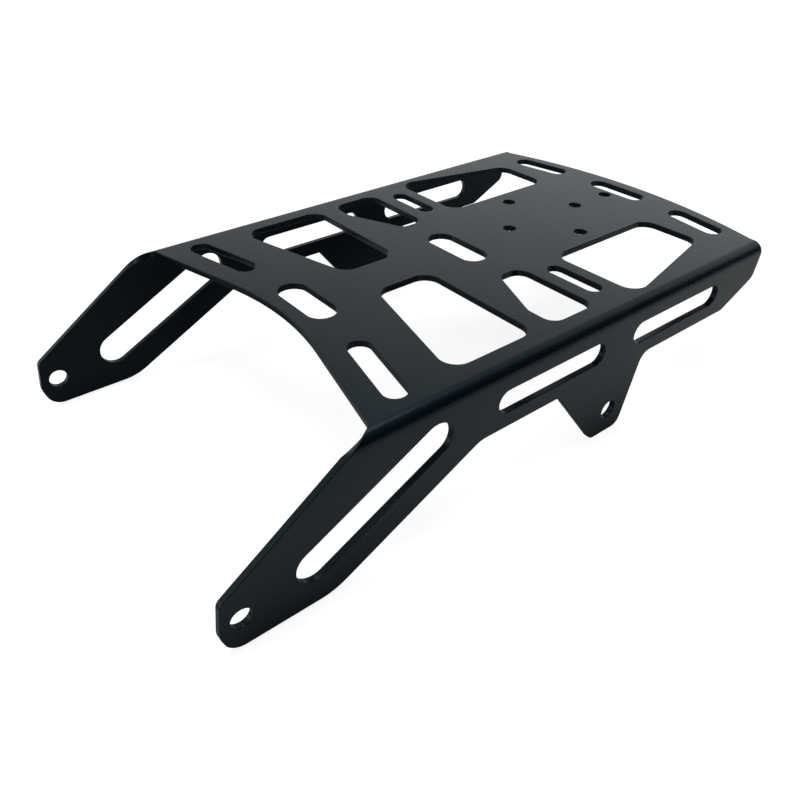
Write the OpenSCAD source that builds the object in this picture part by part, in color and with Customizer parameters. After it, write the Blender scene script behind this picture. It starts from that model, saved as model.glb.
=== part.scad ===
// Motorcycle luggage rack folded from one steel sheet, in millimetres.
// The top plate lies level with its upper face at Z = 0. X runs across the bike, Y rearwards, Z up.
// Sizes along Y are measured from the middle of the front edge of the top plate. The finished
// rack is then moved so that its origin is the centre of the square of four holes.
// A deep side flange is folded down along each long side. Its front end is an arm that reaches
// forwards and down to a fixing hole, and a tab halfway along carries a second fixing hole.
// Both side flanges come from one drawing, mirrored about the centre line.

/* [Sheet] */
// Thickness of the sheet
sheet_t = 3; // [2.5:0.25:3.5]
// Inside radius of the two long folds
fold_r = 2.5; // [2:0.5:3.5]
// Width over the outer faces of the side flanges
rack_w = 180; // [176:1:200]

/* [Plate outline] */
// Length of the top plate along the centre line
plate_l = 233; // [231:1:238]
// Radius of the bowed rear edge
rear_edge_r = 280; // [250:10:400]
// Radius of the curve in the middle of the front edge
front_edge_r = 140; // [120:5:150]
// Angle by which the front edge sweeps forwards at each side
front_sweep = 14; // [13:0.5:15]

/* [Plate openings] */
// Corner radius of the large openings
opening_r = 7.5; // [5:0.5:8]
// Outer edge of the front and middle openings, from the centre line
opening_out = 77.5; // [76:0.5:78.5]
// Inner edge of the front openings, from the centre line
front_in = 11.5; // [10:0.5:16]
// Where the front edge of the front openings would meet the centre line
front_y0 = 45; // [43:0.2:47]
// Rear edge of the front openings
front_y1 = 71; // [68:1:73]
// Front edge of the middle openings, at its outer part
mid_y0 = 81.5; // [80:0.5:84]
// Rear edge of the middle openings
mid_y1 = 107; // [104:1:108]
// Inner edge of the middle openings, from the centre line
mid_in = 34.5; // [32:0.5:36]
// Where the front edge of the middle openings starts to slant, from the centre line
mid_knee = 64; // [62:1:66]
// Angle of the slanted part of that edge
mid_slant = 23; // [20:1:24]
// Inner edge of the rear openings, from the centre line
back_in = 35.5; // [34:0.5:38]
// Front edge of the rear openings
back_y0 = 129.5; // [128.5:0.5:132]
// Rear edge of the rear openings
back_y1 = 198.5; // [195:0.5:200]
// Outer edge of the rear openings at their front, from the centre line
back_out = 83.2; // [80:0.2:83.4]
// Angle by which that outer edge leans inwards towards the rear
back_lean = 13.3; // [12:0.1:16]

/* [Plate slots] */
// Width of the strap slots along the front and rear edges
slot_w = 10; // [8:0.5:11]
// Inner end centre of the front slots, from the centre line
front_slot_x0 = 44; // [43:0.2:50]
// Outer end centre of the front slots, from the centre line
front_slot_x1 = 74.5; // [70:0.5:76]
// Where the centre line of the front slots would meet the middle of the plate
front_slot_y = 19.3; // [18.5:0.1:20.5]
// Width of the two slots on the centre line
mid_slot_w = 13.5; // [10:0.5:15]
// Length between the end centres of the slots on the centre line
mid_slot_l = 22; // [14:0.5:24]
// Centres of the slots on the centre line, from the front edge
mid_slot_y = [13.6, 99.5];
// Width of the two narrow slots between the openings
thin_slot_w = 8; // [5:0.5:8.5]
// Centre of the narrow slots, from the front edge
thin_slot_y = 118.7; // [118:0.1:119.5]
// Inner end centre of the narrow slots, from the centre line
thin_slot_x0 = 46; // [44:0.5:50]
// Outer end centre of the narrow slots, from the centre line
thin_slot_x1 = 67.5; // [60:0.5:70]
// Centre of the middle rear slot, from the front edge
rear_slot_y = 221; // [219:0.5:222]
// Length between the end centres of the middle rear slot
rear_slot_l = 24; // [16:1:26]
// Inner end centre of the outer rear slots, from the centre line
rear_slot_x0 = 42; // [40:0.5:46]
// Outer end centre of the outer rear slots, from the centre line
rear_slot_x1 = 64.5; // [58:0.5:66]
// Inner end centre of the outer rear slots, from the front edge
rear_slot_y0 = 218.6; // [217:0.1:219]
// Angle by which the outer rear slots sweep forwards
rear_slot_sweep = 10; // [8:0.5:12]

/* [Plate holes] */
// Diameter of the five small holes, clearance for M6
hole_d = 6.6; // [6:0.1:8]
// Spacing of the small holes along the centre line, and half the diagonal of the square of four
hole_pitch = 25; // [22:0.5:26]
// Centre of the square of four holes, from the front edge
hole_y = 160.5; // [158:0.5:164]

/* [Side flanges] */
// Depth of the flanges below the upper face
flange_h = 28.5; // [27.5:0.5:32]
// Rear end of the flanges
flange_end = 220.5; // [219:0.5:221]
// Where the sloped lower corner at the rear starts
chamfer_y = 195.5; // [194:0.5:200]
// Height of the rear end of that slope, below the upper face
chamfer_z = 17.5; // [14:0.5:20]
// Width of the two level slots in each flange
side_slot_w = 10.5; // [8:0.5:11.5]
// Height of the level slots, centre below the upper face
side_slot_z = 16; // [15:0.5:18]
// End centres of the slot ahead of the tab
side_slot_a = [46, 98];
// End centres of the slot behind the tab
side_slot_b = [128.3, 181.3];

/* [Arms] */
// Fixing hole of the arm, distance ahead of the front edge
arm_hole_y = 74; // [72:0.5:80]
// Fixing hole of the arm, depth below the upper face
arm_hole_z = 50; // [47:0.5:53]
// Diameter of the arm fixing hole, clearance for M8
arm_hole_d = 8.5; // [8.4:0.1:10]
// Front end of the arm, ahead of its fixing hole
arm_nose = 8.7; // [7.8:0.1:11]
// Lower edge of the arm, below its fixing hole
arm_foot = 13.5; // [12:0.5:16]
// Angle of the long slot and of the lower edge of the arm
arm_slope = 26.6; // [25:0.1:28]
// Angle of the front edge of the arm
arm_front_slope = 34; // [33:0.1:35]
// Width of the long slot in the arm
arm_slot_w = 15; // [10:0.5:16]
// Upper end centre of the long slot, as Y and depth
arm_slot_top = [9.7, 17.3];
// Length of the long slot between its end centres
arm_slot_l = 61; // [50:1:62]
// Width of the strip of sheet below the long slot
arm_strip = 12.6; // [10:0.1:14]

/* [Tabs] */
// Fixing hole of the tab, distance behind the front edge
tab_hole_y = 114.5; // [113:0.5:116]
// Fixing hole of the tab, depth below the upper face
tab_hole_z = 52; // [48:0.5:54]
// Diameter of the tab fixing hole, clearance for M8
tab_hole_d = 9; // [8.4:0.1:11]
// Lower edge of the tab, below its fixing hole
tab_foot = 12.5; // [11.5:0.5:15]
// Angle of the front edge of the tab to the level
tab_front_slope = 52; // [50:1:56]
// Angle of the rear edge of the tab to the level
tab_rear_slope = 76; // [72:1:80]

/* [Hidden] */
$fn = 64;
e = 0.5;
// how far an arc reaches past the straight sides that it joins
hair = 0.001;
half_w = rack_w / 2;
out_r = fold_r + sheet_t;
flat_x = half_w - out_r;
// steps in which the front edge runs over the fold, each cut square to the sheet
fold_steps = 9;
// front edge: half width of the curve, its depth, and the edge where the fold begins
bow_x = front_edge_r * sin(front_sweep);
bow_y = -front_edge_r * (1 - cos(front_sweep));
front_flat_y = bow_y - (flat_x - bow_x) * tan(front_sweep);
rear_flat_y = plate_l - rear_edge_r + sqrt(rear_edge_r * rear_edge_r - flat_x * flat_x);
// arm: the slot's lower end, the lower edge line and the front edge line at the end of the fold
arm_slot_low = [arm_slot_top[0] - arm_slot_l * cos(arm_slope), -arm_slot_top[1] - arm_slot_l * sin(arm_slope)];
arm_edge_c = -arm_slot_top[1] - arm_slot_top[0] * tan(arm_slope)
    - (arm_slot_w / 2 + arm_strip) / cos(arm_slope);
foot_z = -arm_hole_z - arm_foot;
nose_y = -arm_hole_y - arm_nose;
nose_z = -39.5;
front_low_y = nose_y + 2;
front_top_y = front_low_y + (-out_r - nose_z) / tan(arm_front_slope);
// tab: corner points on the flange edge and at the foot
tab_foot_z = -tab_hole_z - tab_foot;
tab_front_y = tab_hole_y - 37.8;
tab_front_low = tab_front_y + (-flange_h - tab_foot_z) / tan(tab_front_slope);
tab_rear_y = tab_hole_y + 18.6;
tab_rear_low = tab_rear_y - (-flange_h - tab_foot_z) / tan(tab_rear_slope);

// A polygon whose corners are rounded by true arcs. Each corner is [x, y, radius], anticlockwise.
module rounded(pts) {
    n = len(pts);
    function p(i) = [pts[(i + n) % n][0], pts[(i + n) % n][1]];
    function unit(v) = v / norm(v);
    function bend(i) = cross(unit(p(i) - p(i - 1)), unit(p(i + 1) - p(i)));
    function half(i) = acos(min(1, max(-1, unit(p(i - 1) - p(i)) * unit(p(i + 1) - p(i))))) / 2;
    function reach(i) = pts[i][2] / tan(half(i));
    function into(i) = p(i) + unit(p(i - 1) - p(i)) * reach(i);
    function outof(i) = p(i) + unit(p(i + 1) - p(i)) * reach(i);
    function centre(i) = p(i) + unit(unit(p(i - 1) - p(i)) + unit(p(i + 1) - p(i))) * pts[i][2] / sin(half(i));
    difference() {
        polygon([for (i = [0 : n - 1]) p(i)]);
        for (i = [0 : n - 1])
            if (pts[i][2] > 0 && bend(i) > 0)
                spandrel(centre(i), [into(i), p(i), outof(i)], pts[i][2]);
    }
    for (i = [0 : n - 1])
        if (pts[i][2] > 0 && bend(i) < 0)
            spandrel(centre(i), [into(i), p(i), outof(i)], pts[i][2]);
}

// What lies between a corner and the arc that rounds it, reaching 1 mm past the corner's sides.
// The arc is larger by a hair, so that it crosses the sides instead of only touching them.
module spandrel(c, corner, r) {
    translate(c)
        difference() {
            polygon([[0, 0], (corner[0] - c) * (1 + 1 / r), (corner[1] - c) * (1 + 1 / r),
                (corner[2] - c) * (1 + 1 / r)]);
            circle(r = r + hair);
        }
}

// A slot with round ends between two centres.
module slot(a, b, w) {
    d = b - a;
    translate(a) circle(d = w + 2 * hair);
    translate(b) circle(d = w + 2 * hair);
    translate(a) rotate(atan2(d[1], d[0])) translate([0, -w / 2]) square([norm(d), w]);
}

// A block on the line Y = low whose two upper corners, at Y = top, are round.
module arch(half, top, low, r) {
    translate([-half, low]) square([2 * half, top - r - low]);
    translate([-half + r, low]) square([2 * (half - r), top - low]);
    for (x = [r - half, half - r])
        translate([x, top - r]) circle(r = r);
}

// Both of a left and right pair.
module pair() {
    children();
    mirror([1, 0]) children();
}

// Plan of the flat part of the top plate, without its cut-outs.
module plate_plan() {
    difference() {
        translate([-flat_x, front_flat_y]) square([2 * flat_x, plate_l - front_flat_y]);
        // swept front edge, straight at the sides and curved in the middle
        pair() polygon([[bow_x, bow_y], [flat_x + e, front_flat_y - e * tan(front_sweep)],
            [flat_x + e, front_flat_y - 10], [0, front_flat_y - 10], [0, bow_y]]);
        intersection() {
            translate([-bow_x - 3, bow_y - 3]) square([2 * bow_x + 6, 4 - bow_y]);
            translate([0, -front_edge_r]) circle(r = front_edge_r + hair, $fn = 360);
        }
        // bowed rear edge
        difference() {
            translate([-flat_x - e, rear_flat_y - 5]) square([2 * flat_x + 2 * e, plate_l - rear_flat_y + 10]);
            translate([0, plate_l - rear_edge_r]) circle(r = rear_edge_r, $fn = 720);
        }
    }
}

// Large front opening, on the side where X is positive.
module front_opening() {
    rounded([[front_in, front_y0 - front_in * tan(front_sweep), opening_r],
        [opening_out, front_y0 - opening_out * tan(front_sweep), opening_r],
        [opening_out, front_y1, opening_r],
        [front_in, front_y1, opening_r]]);
}

// Middle opening, whose front edge slants back towards the centre line.
module middle_opening() {
    rounded([[mid_in, mid_y0 + (mid_knee - mid_in) * tan(mid_slant), opening_r * 0.6],
        [mid_knee, mid_y0, opening_r],
        [opening_out + 0.5, mid_y0, opening_r * 0.8],
        [opening_out + 0.5, mid_y1, opening_r * 0.8],
        [mid_in, mid_y1, opening_r * 0.8]]);
}

// Rear opening, whose outer edge leans inwards towards the rear.
module rear_opening() {
    rounded([[back_in, back_y0, opening_r],
        [back_out, back_y0, opening_r],
        [back_out - (back_y1 - back_y0) * tan(back_lean), back_y1, opening_r],
        [back_in, back_y1, opening_r]]);
}

// Everything cut through the top plate.
module plate_cuts() {
    pair() {
        front_opening();
        middle_opening();
        rear_opening();
        slot([front_slot_x0, front_slot_y - front_slot_x0 * tan(front_sweep - 1)],
            [front_slot_x1, front_slot_y - front_slot_x1 * tan(front_sweep - 1)], slot_w);
        slot([thin_slot_x0, thin_slot_y], [thin_slot_x1, thin_slot_y], thin_slot_w);
        slot([rear_slot_x0, rear_slot_y0],
            [rear_slot_x1, rear_slot_y0 - (rear_slot_x1 - rear_slot_x0) * tan(rear_slot_sweep)], slot_w);
    }
    for (y = mid_slot_y) slot([-mid_slot_l / 2, y], [mid_slot_l / 2, y], mid_slot_w);
    slot([-rear_slot_l / 2, rear_slot_y], [rear_slot_l / 2, rear_slot_y], slot_w);
    // four small holes at the corners of a square set on its point, and a fifth behind it
    for (a = [0 : 90 : 270])
        translate([hole_pitch * cos(a), hole_y + hole_pitch * sin(a)]) circle(d = hole_d);
    translate([0, hole_y + 2 * hole_pitch]) circle(d = hole_d);
}

// Side view of a flange below the fold: Y to the right, Z up.
module flange_side() {
    rounded([[front_top_y, -out_r, 0],
        [front_low_y, nose_z, 4],
        [nose_y, foot_z + 10, 8],
        [nose_y + 3, foot_z, 8],
        [(foot_z - arm_edge_c) / tan(arm_slope), foot_z, 25],
        [(-flange_h - arm_edge_c) / tan(arm_slope), -flange_h, 12],
        [tab_front_y, -flange_h, 0],
        [tab_front_low, tab_foot_z, 5],
        [tab_rear_low, tab_foot_z, 5.5],
        [tab_rear_y, -flange_h, 6],
        [chamfer_y, -flange_h, 6],
        [flange_end - 2, -chamfer_z, 5],
        [flange_end, -out_r, 0]]);
}

// Everything cut through a flange, in the same side view.
module flange_cuts() {
    slot(arm_slot_low, [arm_slot_top[0], -arm_slot_top[1]], arm_slot_w);
    slot([side_slot_a[0], -side_slot_z], [side_slot_a[1], -side_slot_z], side_slot_w);
    slot([side_slot_b[0], -side_slot_z], [side_slot_b[1], -side_slot_z], side_slot_w);
    translate([-arm_hole_y, -arm_hole_z]) circle(d = arm_hole_d);
    translate([tab_hole_y, -tab_hole_z]) circle(d = tab_hole_d);
}

// The sheet after folding, before its outline is cut: a channel along Y with rounded folds.
module channel() {
    y0 = nose_y - 5;
    low = tab_foot_z - 5;
    translate([0, y0, 0])
        rotate([90, 0, 180])
            linear_extrude(height = plate_l + 5 - y0)
                difference() {
                    arch(half_w, 0, low, out_r);
                    arch(half_w - sheet_t, -sheet_t, low - 1, fold_r);
                }
}

// The children with the waste taken off ahead of the front edge, where it runs over the folds.
// It comes off in steps round each fold, every one cut square to the sheet, so the edge runs on
// from the swept front edge of the plate to the front edge of the arm.
module trim_folds(i = fold_steps - 1) {
    step = 90 / fold_steps;
    rise = (front_flat_y - front_top_y) / fold_steps;
    if (i < 0)
        children();
    else
        difference() {
            trim_folds(i - 1) children();
            for (s = [0, 1])
                mirror([s, 0, 0])
                    translate([flat_x, 0, -out_r])
                        rotate([0, (i + 0.5) * step, 0])
                            fold_step(i, step, front_flat_y - (i + 0.5) * rise, rise);
        }
}

// One step of that waste, its middle straight above the axis of the fold. Its rear face
// passes through y_mid there and moves forwards by rise over the width of the step. Each step
// reaches a little past the one before it, so no sliver is left between them.
module fold_step(i, step, y_mid, rise) {
    y0 = nose_y - 10;
    w = (fold_r + sheet_t / 2) * tan(step / 2);
    top = 1.5 * out_r;
    before = step / 2 + (i == 0 ? 1 : 0.4);
    after = step / 2 + (i == fold_steps - 1 ? 1 : 0);
    intersection() {
        rotate([90, 0, 0])
            translate([0, 0, -y_mid - 2 * rise])
                linear_extrude(height = y_mid + 2 * rise - y0)
                    polygon([[0, 0], [top * tan(after), top], [-top * tan(before), top]]);
        linear_extrude(height = top)
            polygon([[-3 * w, y0], [3 * w, y0], [3 * w, y_mid - 1.5 * rise], [-3 * w, y_mid + 1.5 * rise]]);
    }
}

// Waste outside the side view of a flange, below the fold, with its slots and holes.
module flange_waste() {
    y0 = nose_y - 10;
    low = tab_foot_z - 10;
    translate([half_w - sheet_t - 1, 0, 0])
        rotate([90, 0, 90])
            linear_extrude(height = sheet_t + 2) {
                difference() {
                    translate([y0, low]) square([plate_l + 10 - y0, -out_r - low]);
                    flange_side();
                }
                flange_cuts();
            }
}

// Waste outside the plan of the top plate, with its openings, slots and holes.
module plate_waste() {
    y0 = nose_y - 10;
    translate([0, 0, -sheet_t - 1])
        linear_extrude(height = sheet_t + 2) {
            difference() {
                translate([-flat_x, y0]) square([2 * flat_x, plate_l + 10 - y0]);
                plate_plan();
            }
            plate_cuts();
        }
}

module rack_plate() {
    color([0.13, 0.13, 0.14])
        translate([0, -hole_y, 0])
            trim_folds()
                difference() {
                    channel();
                    plate_waste();
                    for (s = [0, 1])
                        mirror([s, 0, 0]) {
                            flange_waste();
                            translate([flat_x, flange_end, -out_r - e]) cube([out_r + 1, plate_l, out_r + 1]);
                        }
                }
}

rack_plate();
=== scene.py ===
"""Looks of a folded steel luggage rack with a satin black powder coat.

The rack is one sheet of steel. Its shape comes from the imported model; here it gets rounded
cut edges, the coat, a studio and a camera. Lengths are in metres, Z is up, and the origin is
the centre of the square of four holes in the top plate.
"""
import math

import bmesh
import bpy
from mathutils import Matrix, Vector
from mathutils.geometry import delaunay_2d_cdt


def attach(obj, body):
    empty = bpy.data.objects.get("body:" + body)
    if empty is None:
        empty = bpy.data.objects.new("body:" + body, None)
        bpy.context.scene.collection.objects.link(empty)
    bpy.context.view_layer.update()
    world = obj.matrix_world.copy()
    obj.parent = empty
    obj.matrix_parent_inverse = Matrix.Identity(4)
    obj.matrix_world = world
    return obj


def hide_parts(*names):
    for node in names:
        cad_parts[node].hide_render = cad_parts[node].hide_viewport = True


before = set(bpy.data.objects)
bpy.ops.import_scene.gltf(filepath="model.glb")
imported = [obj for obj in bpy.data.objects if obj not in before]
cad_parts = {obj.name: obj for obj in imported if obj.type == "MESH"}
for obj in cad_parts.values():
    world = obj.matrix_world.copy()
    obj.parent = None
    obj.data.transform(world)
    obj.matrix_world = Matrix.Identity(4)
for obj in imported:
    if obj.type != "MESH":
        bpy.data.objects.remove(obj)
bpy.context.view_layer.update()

MM = 0.001

# Sizes of the rack in millimetres, as in part.scad. Y is measured from the plate's front edge.
SHEET_T = 3
FOLD_R = 2.5
RACK_W = 180
PLATE_L = 233
REAR_EDGE_R = 280
FRONT_EDGE_R = 140
FRONT_SWEEP = 14
# openings of the plate
OPENING_R = 7.5
OPENING_OUT = 77.5
FRONT_IN, FRONT_Y0, FRONT_Y1 = 11.5, 45, 71
MID_IN, MID_KNEE, MID_SLANT, MID_Y0, MID_Y1 = 34.5, 64, 23, 81.5, 107
BACK_IN, BACK_OUT, BACK_LEAN, BACK_Y0, BACK_Y1 = 35.5, 83.2, 13.3, 129.5, 198.5
# slots and holes of the plate
SLOT_W = 10
FRONT_SLOT_X, FRONT_SLOT_Y = (44, 74.5), 19.3
MID_SLOT_W, MID_SLOT_L, MID_SLOT_Y = 13.5, 22, (13.6, 99.5)
THIN_SLOT_W, THIN_SLOT_X, THIN_SLOT_Y = 8, (46, 67.5), 118.7
REAR_SLOT_Y, REAR_SLOT_L = 221, 24
REAR_SLOT_X, REAR_SLOT_Y0, REAR_SLOT_SWEEP = (42, 64.5), 218.6, 10
HOLE_D, HOLE_PITCH, HOLE_Y = 6.6, 25, 160.5
# side flanges
FLANGE_H, FLANGE_END, CHAMFER_Y, CHAMFER_Z = 28.5, 220.5, 195.5, 17.5
SIDE_SLOT_W, SIDE_SLOT_Z = 10.5, 16
SIDE_SLOT_A, SIDE_SLOT_B = (46, 98), (128.3, 181.3)
# arms, with holes and slot ends as Y and Z
ARM_HOLE, ARM_HOLE_D = (-74, -50), 8.5
NOSE_Y, FOOT_Z = -74 - 8.7, -50 - 13.5
NOSE_LOW_Y, NOSE_LOW_Z = NOSE_Y + 2, -39.5
ARM_SLOPE, ARM_FRONT_SLOPE = 26.6, 34
ARM_SLOT_TOP, ARM_SLOT_L, ARM_SLOT_W, ARM_STRIP = (9.7, 17.3), 61, 15, 12.6
# tabs
TAB_HOLE, TAB_HOLE_D, TAB_FOOT_Z = (114.5, -52), 9, -64.5
TAB_FRONT_SLOPE, TAB_REAR_SLOPE = 52, 76
TAB_FRONT_Y, TAB_REAR_Y = TAB_HOLE[0] - 37.8, TAB_HOLE[0] + 18.6

# what follows from them
OUT_R = FOLD_R + SHEET_T
FLAT_X = RACK_W / 2 - OUT_R
FOLD_LENGTH = (FOLD_R + SHEET_T / 2) * math.pi / 2

# Fineness of the mesh: turn from point to point of an arc, steps round a fold, along half of
# the bowed front and rear edges, and round a cut edge of the given radius
ARC_STEP = math.radians(7.5)
FOLD_STEPS = 14
BOW_STEPS, REAR_BOW_STEPS = 14, 20
EDGE_R = 0.35
EDGE_STEPS = 3

# Bench on which the feet of the tabs stand, in metres
FLOOR_Z = (TAB_FOOT_Z - 0.2) * MM
# Its colour, the white that the camera sees on it, its painted reflection (a glow that only
# mirroring surfaces see, cut out under the rack as painted shade), and the width in metres over
# which that painted shade fades out at the rack's sides
FLOOR_GREY, FLOOR_SEEN, FLOOR_PAINTED_REFLECTION, FLOOR_BLEND = 0.35, 0.86, 0.25, 0.03
# The pale wall on the left: its brightness, and where it ends as the X of a direction
WALL_LIGHT, WALL_EDGE, WALL_BLEND, WORLD_FILL = 0.68, 0.38, 0.15, 0.005

# The coat: its mottling goes from one base colour to the other
COAT_DARK = (0.0022, 0.0052, 0.0085, 1.0)
COAT_PALE = (0.0042, 0.0084, 0.0128, 1.0)
COAT_TINT = (0.68, 0.90, 1.0, 1.0)
COAT_ROUGHNESS = 0.27


class Sock:
    """A shader socket that takes part in sums, so that maths reads as it is written."""

    def __init__(self, tree, socket):
        self.tree = tree
        self.socket = socket

    def _math(self, operation, a, b=None):
        node = self.tree.nodes.new("ShaderNodeMath")
        node.operation = operation
        for slot, value in zip(node.inputs, (a, b)):
            if isinstance(value, Sock):
                self.tree.links.new(value.socket, slot)
            elif value is not None:
                slot.default_value = value
        return Sock(self.tree, node.outputs[0])

    def __add__(self, other):
        return self._math("ADD", self, other)

    def __radd__(self, other):
        return self._math("ADD", other, self)

    def __sub__(self, other):
        return self._math("SUBTRACT", self, other)

    def __rsub__(self, other):
        return self._math("SUBTRACT", other, self)

    def __mul__(self, other):
        return self._math("MULTIPLY", self, other)

    def __rmul__(self, other):
        return self._math("MULTIPLY", other, self)

    def __truediv__(self, other):
        return self._math("DIVIDE", self, other)

    def larger(self, other):
        return self._math("MAXIMUM", self, other)

    def smaller(self, other):
        return self._math("MINIMUM", self, other)

    def clamp(self):
        return self.larger(0.0).smaller(1.0)

    def absolute(self):
        return self._math("ABSOLUTE", self)

    def sign(self):
        return self._math("SIGN", self)

    def sine(self):
        return self._math("SINE", self)

    def cosine(self):
        return self._math("COSINE", self)


class Nodes:
    """The node tree of a new material or world, emptied, whose nodes are made by add()."""

    def __init__(self, owner):
        owner.use_nodes = True
        self.owner = owner
        self.tree = owner.node_tree
        self.tree.nodes.clear()

    def add(self, kind, settings=None, out=0, **inputs):
        """Makes one node: its settings first, then the values or links of its sockets."""
        node = self.tree.nodes.new(kind)
        for key, value in (settings or {}).items():
            setattr(node, key, value)
        for key, value in inputs.items():
            slot = self.socket(node, key)
            if isinstance(value, Sock):
                self.tree.links.new(value.socket, slot)
            else:
                slot.default_value = value
        return Sock(self.tree, node.outputs[out])

    @staticmethod
    def socket(node, key):
        """An input by its number, as _6, or by its name with _ for each space."""
        if key[0] == "_" and key[1:].isdigit():
            return node.inputs[int(key[1:])]
        return node.inputs[key.replace("_", " ")]

    def mix_colour(self, factor, a, b):
        return self.add("ShaderNodeMix", {"data_type": "RGBA"}, 2, _0=factor, _6=a, _7=b)

    def parts(self, vector):
        """X, Y and Z of a vector."""
        return [self.add("ShaderNodeSeparateXYZ", out=n, Vector=vector) for n in range(3)]

    def rays(self):
        """1 where the camera looks, also through glass, and 1 where a surface mirrors."""
        camera, glossy, transmission = (self.add("ShaderNodeLightPath", out=n) for n in (0, 3, 6))
        return camera.larger(transmission), glossy

    def finish(self, surface, output="ShaderNodeOutputMaterial"):
        node = self.tree.nodes.new(output)
        self.tree.links.new(surface.socket, node.inputs["Surface"])
        return self.owner


def grey(value):
    return (value, value, value, 1.0)


def powder_coat():
    """Satin black powder coat, slightly cool, with a fine orange peel and faint mottling."""
    s = Nodes(bpy.data.materials.new("satin_black_powder_coat"))
    place = s.add("ShaderNodeTexCoord", out=3)
    cloud = s.add("ShaderNodeTexNoise", Vector=place, Scale=38.0, Detail=3.0, Roughness=0.55)
    grain = s.add("ShaderNodeTexNoise", Vector=place, Scale=900.0, Detail=2.0, Roughness=0.5)
    peel = s.add("ShaderNodeTexNoise", Vector=place, Scale=420.0, Detail=2.5, Roughness=0.5)
    colour = s.mix_colour(cloud, COAT_DARK, COAT_PALE)
    roughness = COAT_ROUGHNESS + (cloud - 0.5) * 0.10 + (grain - 0.5) * 0.08
    bump = s.add("ShaderNodeBump", Strength=0.26, Distance=0.00012, Height=peel + grain * 0.35)
    coat = s.add("ShaderNodeBsdfPrincipled", Base_Color=colour, Roughness=roughness, Normal=bump,
                 Specular_IOR_Level=0.31, Specular_Tint=COAT_TINT)
    return s.finish(coat)


def floor_finish():
    """Pale bench top: lit as usual, white to the eye, and with a painted reflection: a glow that
    only mirroring surfaces see, cut out under the rack as painted shade.
    """
    s = Nodes(bpy.data.materials.new("pale_floor"))
    seen, mirrored = s.rays()
    across = s.parts(s.add("ShaderNodeTexCoord", out=3))[0]
    # painted shade: 0 under the rack, so the coat mirrors a dark floor there, and 1 at the rack's
    # sides, where the painted glow is mirrored
    outside_painted_shade = ((across.absolute() - RACK_W / 2 * MM) / FLOOR_BLEND).clamp()
    glow = seen * FLOOR_SEEN + mirrored * outside_painted_shade * FLOOR_PAINTED_REFLECTION
    lit = s.add("ShaderNodeBsdfDiffuse", Color=grey(FLOOR_GREY))
    white = s.add("ShaderNodeEmission", Color=grey(1.0), Strength=glow)
    return s.finish(s.add("ShaderNodeAddShader", _0=lit, _1=white))


def studio_world():
    """White to the eye. As light, a pale wall on the left that is brightest low and at the ends."""
    s = Nodes(bpy.data.worlds.new("studio"))
    seen = s.rays()[0]
    across, along, upward = s.parts(s.add("ShaderNodeTexCoord", out=0))
    fall = (1.2 - upward * 1.5 + along.absolute() * 0.75).larger(0.0)
    wall = ((WALL_EDGE - across) / WALL_BLEND).clamp() * fall * WALL_LIGHT + WORLD_FILL
    strength = seen + (1.0 - seen) * wall
    sky = s.add("ShaderNodeBackground", Color=grey(1.0), Strength=strength)
    return s.finish(sky, "ShaderNodeOutputWorld")


def unit(v):
    length = math.hypot(*v)
    return (v[0] / length, v[1] / length)


def rounded(corners):
    """Outline through corners (x, y, radius), each rounded by a true arc."""
    points = []
    count = len(corners)
    for i, (x, y, radius) in enumerate(corners):
        before = unit((corners[i - 1][0] - x, corners[i - 1][1] - y))
        after = unit((corners[(i + 1) % count][0] - x, corners[(i + 1) % count][1] - y))
        if radius == 0:
            points.append((x, y))
            continue
        half = math.acos(before[0] * after[0] + before[1] * after[1]) / 2
        reach = radius / math.tan(half)
        axis = unit((before[0] + after[0], before[1] + after[1]))
        centre = (x + axis[0] * radius / math.sin(half), y + axis[1] * radius / math.sin(half))
        start = (x + before[0] * reach - centre[0], y + before[1] * reach - centre[1])
        end = (x + after[0] * reach - centre[0], y + after[1] * reach - centre[1])
        turn = math.atan2(start[0] * end[1] - start[1] * end[0],
                          start[0] * end[0] + start[1] * end[1])
        steps = max(2, round(abs(turn) / ARC_STEP))
        for k in range(steps + 1):
            c, s = math.cos(turn * k / steps), math.sin(turn * k / steps)
            points.append((centre[0] + start[0] * c - start[1] * s,
                           centre[1] + start[0] * s + start[1] * c))
    return points


def slot(a, b, width):
    """Outline of a slot with round ends between two centres; a hole where they are one point."""
    along = math.atan2(b[1] - a[1], b[0] - a[0])
    steps = round(math.pi / ARC_STEP)
    points = []
    for centre, start in ((b, along - math.pi / 2), (a, along + math.pi / 2)):
        for k in range(steps + (a != b)):
            turn = start + math.pi * k / steps
            points.append((centre[0] + width / 2 * math.cos(turn),
                           centre[1] + width / 2 * math.sin(turn)))
    return points


def lean(angle):
    return math.tan(math.radians(angle))


def flat_from_side(point):
    """A point of a flange's side view (Y, Z) on the flat sheet, before folding."""
    y, z = point
    return (FLAT_X + FOLD_LENGTH - OUT_R - z, y)


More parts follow.
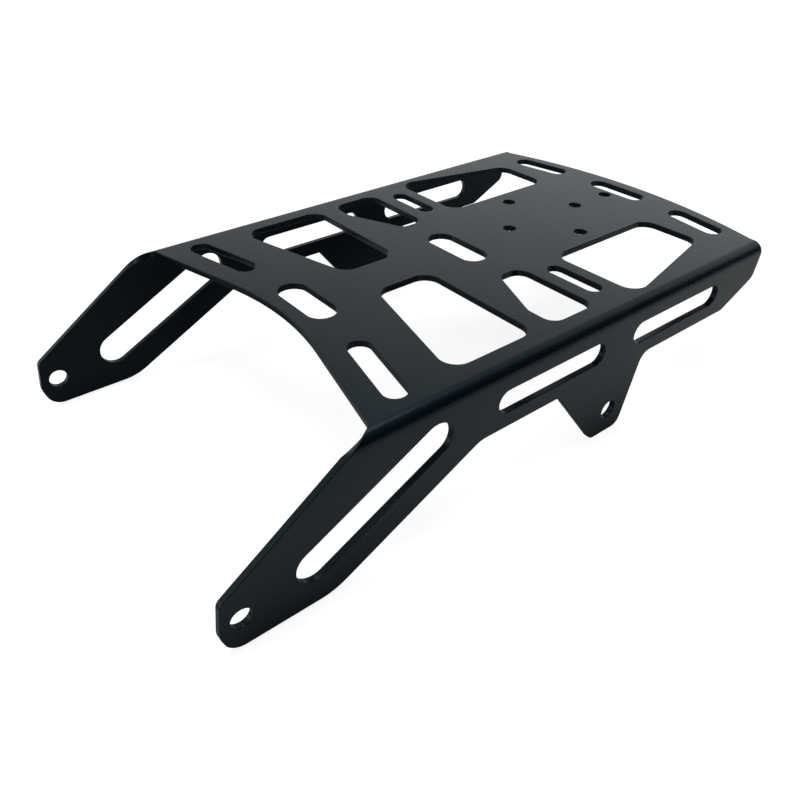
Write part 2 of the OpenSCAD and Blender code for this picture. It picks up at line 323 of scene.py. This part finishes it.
def right_contour():
    """The sheet's outline from the middle of its front edge to the middle of its rear edge."""
    bow_x = FRONT_EDGE_R * math.sin(math.radians(FRONT_SWEEP))
    bow_y = -FRONT_EDGE_R * (1 - math.cos(math.radians(FRONT_SWEEP)))
    front_y = bow_y - (FLAT_X - bow_x) * lean(FRONT_SWEEP)
    arm_y = NOSE_LOW_Y + (-OUT_R - NOSE_LOW_Z) / lean(ARM_FRONT_SLOPE)
    edge_c = (-ARM_SLOT_TOP[1] - ARM_SLOT_TOP[0] * lean(ARM_SLOPE)
              - (ARM_SLOT_W / 2 + ARM_STRIP) / math.cos(math.radians(ARM_SLOPE)))
    bow = [bow_x * k / BOW_STEPS for k in range(BOW_STEPS + 1)]
    points = [(x, math.sqrt(FRONT_EDGE_R ** 2 - x ** 2) - FRONT_EDGE_R) for x in bow]
    points += [(FLAT_X + FOLD_LENGTH * k / FOLD_STEPS, front_y + (arm_y - front_y) * k / FOLD_STEPS)
               for k in range(FOLD_STEPS)]
    points += [flat_from_side(q) for q in rounded([
        (arm_y, -OUT_R, 0),
        (NOSE_LOW_Y, NOSE_LOW_Z, 4),
        (NOSE_Y, FOOT_Z + 10, 8),
        (NOSE_Y + 3, FOOT_Z, 8),
        ((FOOT_Z - edge_c) / lean(ARM_SLOPE), FOOT_Z, 25),
        ((-FLANGE_H - edge_c) / lean(ARM_SLOPE), -FLANGE_H, 12),
        (TAB_FRONT_Y, -FLANGE_H, 0.4),
        (TAB_FRONT_Y + (-FLANGE_H - TAB_FOOT_Z) / lean(TAB_FRONT_SLOPE), TAB_FOOT_Z, 5),
        (TAB_REAR_Y - (-FLANGE_H - TAB_FOOT_Z) / lean(TAB_REAR_SLOPE), TAB_FOOT_Z, 5.5),
        (TAB_REAR_Y, -FLANGE_H, 6),
        (CHAMFER_Y, -FLANGE_H, 6),
        (FLANGE_END - 2, -CHAMFER_Z, 5),
        (FLANGE_END, -OUT_R, 0)])]
    points += [(FLAT_X + FOLD_LENGTH * (1 - k / FOLD_STEPS), FLANGE_END)
               for k in range(1, FOLD_STEPS + 1)]
    # the bowed rear edge starts where it is as far back as the flange
    rear_x = math.sqrt(REAR_EDGE_R ** 2 - (FLANGE_END - PLATE_L + REAR_EDGE_R) ** 2)
    bow = [rear_x * (1 - k / REAR_BOW_STEPS) for k in range(REAR_BOW_STEPS + 1)]
    points += [(x, PLATE_L - REAR_EDGE_R + math.sqrt(REAR_EDGE_R ** 2 - x ** 2)) for x in bow]
    return points


def cutouts():
    """Outlines of every opening, slot and hole, on the flat sheet."""
    sweep = lean(FRONT_SWEEP)
    slot_sweep = lean(FRONT_SWEEP - 1)
    low_end = (ARM_SLOT_TOP[0] - ARM_SLOT_L * math.cos(math.radians(ARM_SLOPE)),
               -ARM_SLOT_TOP[1] - ARM_SLOT_L * math.sin(math.radians(ARM_SLOPE)))
    right = [
        rounded([(FRONT_IN, FRONT_Y0 - FRONT_IN * sweep, OPENING_R),
                 (OPENING_OUT, FRONT_Y0 - OPENING_OUT * sweep, OPENING_R),
                 (OPENING_OUT, FRONT_Y1, OPENING_R),
                 (FRONT_IN, FRONT_Y1, OPENING_R)]),
        rounded([(MID_IN, MID_Y0 + (MID_KNEE - MID_IN) * lean(MID_SLANT), OPENING_R * 0.6),
                 (MID_KNEE, MID_Y0, OPENING_R),
                 (OPENING_OUT + 0.5, MID_Y0, OPENING_R * 0.8),
                 (OPENING_OUT + 0.5, MID_Y1, OPENING_R * 0.8),
                 (MID_IN, MID_Y1, OPENING_R * 0.8)]),
        rounded([(BACK_IN, BACK_Y0, OPENING_R),
                 (BACK_OUT, BACK_Y0, OPENING_R),
                 (BACK_OUT - (BACK_Y1 - BACK_Y0) * lean(BACK_LEAN), BACK_Y1, OPENING_R),
                 (BACK_IN, BACK_Y1, OPENING_R)]),
        slot(*[(x, FRONT_SLOT_Y - x * slot_sweep) for x in FRONT_SLOT_X], SLOT_W),
        slot(*[(x, THIN_SLOT_Y) for x in THIN_SLOT_X], THIN_SLOT_W),
        slot(*[(x, REAR_SLOT_Y0 - (x - REAR_SLOT_X[0]) * lean(REAR_SLOT_SWEEP))
               for x in REAR_SLOT_X], SLOT_W),
    ]
    side = [
        slot(low_end, (ARM_SLOT_TOP[0], -ARM_SLOT_TOP[1]), ARM_SLOT_W),
        slot(*[(y, -SIDE_SLOT_Z) for y in SIDE_SLOT_A], SIDE_SLOT_W),
        slot(*[(y, -SIDE_SLOT_Z) for y in SIDE_SLOT_B], SIDE_SLOT_W),
        slot(ARM_HOLE, ARM_HOLE, ARM_HOLE_D),
        slot(TAB_HOLE, TAB_HOLE, TAB_HOLE_D),
    ]
    right += [[flat_from_side(q) for q in loop] for loop in side]
    loops = right + [[(-x, y) for x, y in loop] for loop in right]
    loops += [slot((-MID_SLOT_L / 2, y), (MID_SLOT_L / 2, y), MID_SLOT_W) for y in MID_SLOT_Y]
    loops.append(slot((-REAR_SLOT_L / 2, REAR_SLOT_Y), (REAR_SLOT_L / 2, REAR_SLOT_Y), SLOT_W))
    for x, y in ((1, 0), (0, 1), (-1, 0), (0, -1), (0, 2)):
        centre = (x * HOLE_PITCH, HOLE_Y + y * HOLE_PITCH)
        loops.append(slot(centre, centre, HOLE_D))
    return loops


def tidy(loop, anticlockwise):
    """The loop without doubled points, turned the way that keeps metal on its left."""
    kept = [q for i, q in enumerate(loop) if math.dist(q, loop[i - 1]) > 0.01]
    area = sum(kept[i - 1][0] * q[1] - q[0] * kept[i - 1][1] for i, q in enumerate(kept))
    return kept if (area > 0) == anticlockwise else kept[::-1]


def inset(loop, depth):
    """The loop moved by depth into the metal, which lies on its left."""
    moved = []
    for i, (x, y) in enumerate(loop):
        a = unit((x - loop[i - 1][0], y - loop[i - 1][1]))
        after = loop[(i + 1) % len(loop)]
        b = unit((after[0] - x, after[1] - y))
        normal = unit((-a[1] - b[1], a[0] + b[0]))
        stretch = depth / max(0.5, normal[0] * -a[1] + normal[1] * a[0])
        moved.append((x + normal[0] * stretch, y + normal[1] * stretch))
    return moved


def inside(point, loops):
    """True where an odd number of loops go round the point."""
    x, y = point
    odd = False
    for loop in loops:
        for i, (x1, y1) in enumerate(loop):
            x0, y0 = loop[i - 1]
            if (y0 > y) != (y1 > y) and x < x0 + (y - y0) * (x1 - x0) / (y1 - y0):
                odd = not odd
    return odd


def flat_sheet():
    """Mesh of the cut sheet before folding, upper face at Z = 0, with slightly rounded edges."""
    half = right_contour()
    outer = tidy(half + [(-x, y) for x, y in half[::-1]], True)
    loops = [outer] + [tidy(loop, False) for loop in cutouts()]
    faces_at = [inset(loop, EDGE_R) for loop in loops]
    points = [q for loop in faces_at for q in loop]
    edges = []
    first = 0
    for loop in faces_at:
        edges += [(first + i, first + (i + 1) % len(loop)) for i in range(len(loop))]
        first += len(loop)
    # lines along the folds, each between the outline's points at the front and at the rear
    for side in (1, -1):
        for k in range(FOLD_STEPS + 1):
            x = side * (FLAT_X + FOLD_LENGTH * k / FOLD_STEPS)
            ends = [i for i, q in enumerate(outer) if abs(q[0] - x) < 0.01]
            ends.sort(key=lambda i: outer[i][1])
            edges.append((ends[0], ends[-1]))
    made, _, triangles, _, _, _ = delaunay_2d_cdt([Vector(q) for q in points], edges, [], 0, 1e-6)
    if len(made) != len(points):
        raise RuntimeError("the outline crosses itself")
    triangles = [t for t in triangles
                 if inside([sum(points[i][axis] for i in t) / 3 for axis in (0, 1)], faces_at)]

    bm = bmesh.new()
    profile = [(EDGE_R * (1 - math.sin(a)), -EDGE_R * (1 - math.cos(a)))
               for a in [math.pi / 2 * k / EDGE_STEPS for k in range(EDGE_STEPS + 1)]]
    profile += [(depth, -SHEET_T - z) for depth, z in profile[::-1]]
    rows = []
    for depth, z in profile:
        row = [q for loop in loops for q in inset(loop, depth)]
        rows.append([bm.verts.new((x * MM, (y - HOLE_Y) * MM, z * MM)) for x, y in row])
    for t in triangles:
        bm.faces.new([rows[0][i] for i in t])
        bm.faces.new([rows[-1][i] for i in reversed(t)])
    first = 0
    for loop in loops:
        for i in range(len(loop)):
            a, b = first + i, first + (i + 1) % len(loop)
            for upper, lower in zip(rows, rows[1:]):
                bm.faces.new((upper[b], upper[a], lower[a], lower[b]))
        first += len(loop)
    mesh = bpy.data.meshes.new("rack_shell")
    bm.to_mesh(mesh)
    bm.free()
    return mesh


def fold_tree():
    """Geometry nodes that fold a flat sheet down along two lines, round a true bend."""
    tree = bpy.data.node_groups.new("fold_sheet", "GeometryNodeTree")
    face = tree.interface
    face.new_socket("Sheet", in_out="INPUT", socket_type="NodeSocketGeometry")
    for name in ("Fold line", "Inside radius", "Thickness"):
        face.new_socket(name, in_out="INPUT", socket_type="NodeSocketFloat")
    face.new_socket("Coat", in_out="INPUT", socket_type="NodeSocketMaterial")
    face.new_socket("Rack", in_out="OUTPUT", socket_type="NodeSocketGeometry")
    start = tree.nodes.new("NodeGroupInput")
    end = tree.nodes.new("NodeGroupOutput")
    fold_line, inside_r, thickness = (Sock(tree, start.outputs[name])
                                      for name in ("Fold line", "Inside radius", "Thickness"))
    place = tree.nodes.new("GeometryNodeInputPosition")
    split = tree.nodes.new("ShaderNodeSeparateXYZ")
    tree.links.new(place.outputs[0], split.inputs[0])
    x, y, z = (Sock(tree, out) for out in split.outputs)
    out_r = inside_r + thickness
    # the bend is as long as its arc half-way through the sheet
    middle_r = inside_r + thickness * 0.5
    bend = middle_r * (math.pi / 2)
    past = (x.absolute() - fold_line).larger(0.0)
    angle = past.smaller(bend) / middle_r
    folded_x = x.absolute().smaller(fold_line) + (out_r + z) * angle.sine()
    folded_z = (out_r + z) * angle.cosine() - out_r - (past - bend).larger(0.0)
    join = tree.nodes.new("ShaderNodeCombineXYZ")
    for slot_in, value in zip(join.inputs, (x.sign() * folded_x, y, folded_z)):
        tree.links.new(value.socket, slot_in)
    move = tree.nodes.new("GeometryNodeSetPosition")
    tree.links.new(start.outputs["Sheet"], move.inputs["Geometry"])
    tree.links.new(join.outputs[0], move.inputs["Position"])
    real = tree.nodes.new("GeometryNodeRealizeInstances")
    tree.links.new(move.outputs[0], real.inputs[0])
    paint = tree.nodes.new("GeometryNodeSetMaterial")
    tree.links.new(real.outputs[0], paint.inputs["Geometry"])
    tree.links.new(start.outputs["Coat"], paint.inputs["Material"])
    tree.links.new(paint.outputs[0], end.inputs["Rack"])
    return tree


def applied(piece):
    """The piece with its modifiers turned into plain mesh."""
    graph = bpy.context.evaluated_depsgraph_get()
    mesh = bpy.data.meshes.new_from_object(piece.evaluated_get(graph))
    piece.modifiers.clear()
    piece.data = mesh
    return piece


def rack_shell(coat):
    """The rack as one folded sheet."""
    shell = bpy.data.objects.new("rack_shell", flat_sheet())
    bpy.context.scene.collection.objects.link(shell)
    fold = shell.modifiers.new("fold", "NODES")
    tree = fold_tree()
    fold.node_group = tree
    values = {"Fold line": FLAT_X * MM, "Inside radius": FOLD_R * MM,
              "Thickness": SHEET_T * MM, "Coat": coat}
    for socket in tree.interface.items_tree:
        if socket.item_type == "SOCKET" and socket.name in values:
            fold[socket.identifier] = values[socket.name]
    applied(shell)
    for face in shell.data.polygons:
        face.use_smooth = True
    weigh = shell.modifiers.new("weigh", "WEIGHTED_NORMAL")
    weigh.weight = 100
    weigh.keep_sharp = False
    return applied(shell)


rack = rack_shell(powder_coat())
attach(rack, "root")
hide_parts("rack_plate")


def softbox(name, size, place, target, power):
    """An evenly bright panel of the given width and height that faces a point of the rack."""
    light = bpy.data.lights.new(name, "AREA")
    light.shape = "RECTANGLE"
    light.size, light.size_y = size
    light.energy = power
    lamp = bpy.data.objects.new(name, light)
    bpy.context.scene.collection.objects.link(lamp)
    lamp.location = place
    lamp.rotation_euler = (Vector(target) - Vector(place)).to_track_quat("-Z", "Y").to_euler()


def level_square(name, half, place, material):
    """A level square sheet around a place; half is half its side."""
    mesh = bpy.data.meshes.new(name)
    corners = [(-half, -half, 0), (half, -half, 0), (half, half, 0), (-half, half, 0)]
    mesh.from_pydata([Vector(c) + Vector(place) for c in corners], [], [(0, 1, 2, 3)])
    mesh.materials.append(material)
    sheet = bpy.data.objects.new(name, mesh)
    bpy.context.scene.collection.objects.link(sheet)
    return sheet


floor = level_square("floor", 6.0, (0, 0, FLOOR_Z), floor_finish())

softbox("top_softbox", (1.2, 1.2), (-0.1, -0.1, 1.5), (0, -0.05, 0), 16)
bpy.context.scene.world = studio_world()

bpy.context.scene.view_settings.view_transform = "Standard"

# The camera was solved from the photo.
lens = bpy.data.cameras.new("camera")
lens.sensor_width = 36
lens.lens = 33.64
lens.clip_start = 0.01
camera = bpy.data.objects.new("camera", lens)
bpy.context.scene.collection.objects.link(camera)
camera.location = (0.24294, -0.29211, 0.15342)
camera.rotation_euler = [math.radians(a) for a in (53.737, -0.302, 51.258)]
bpy.context.scene.camera = camera
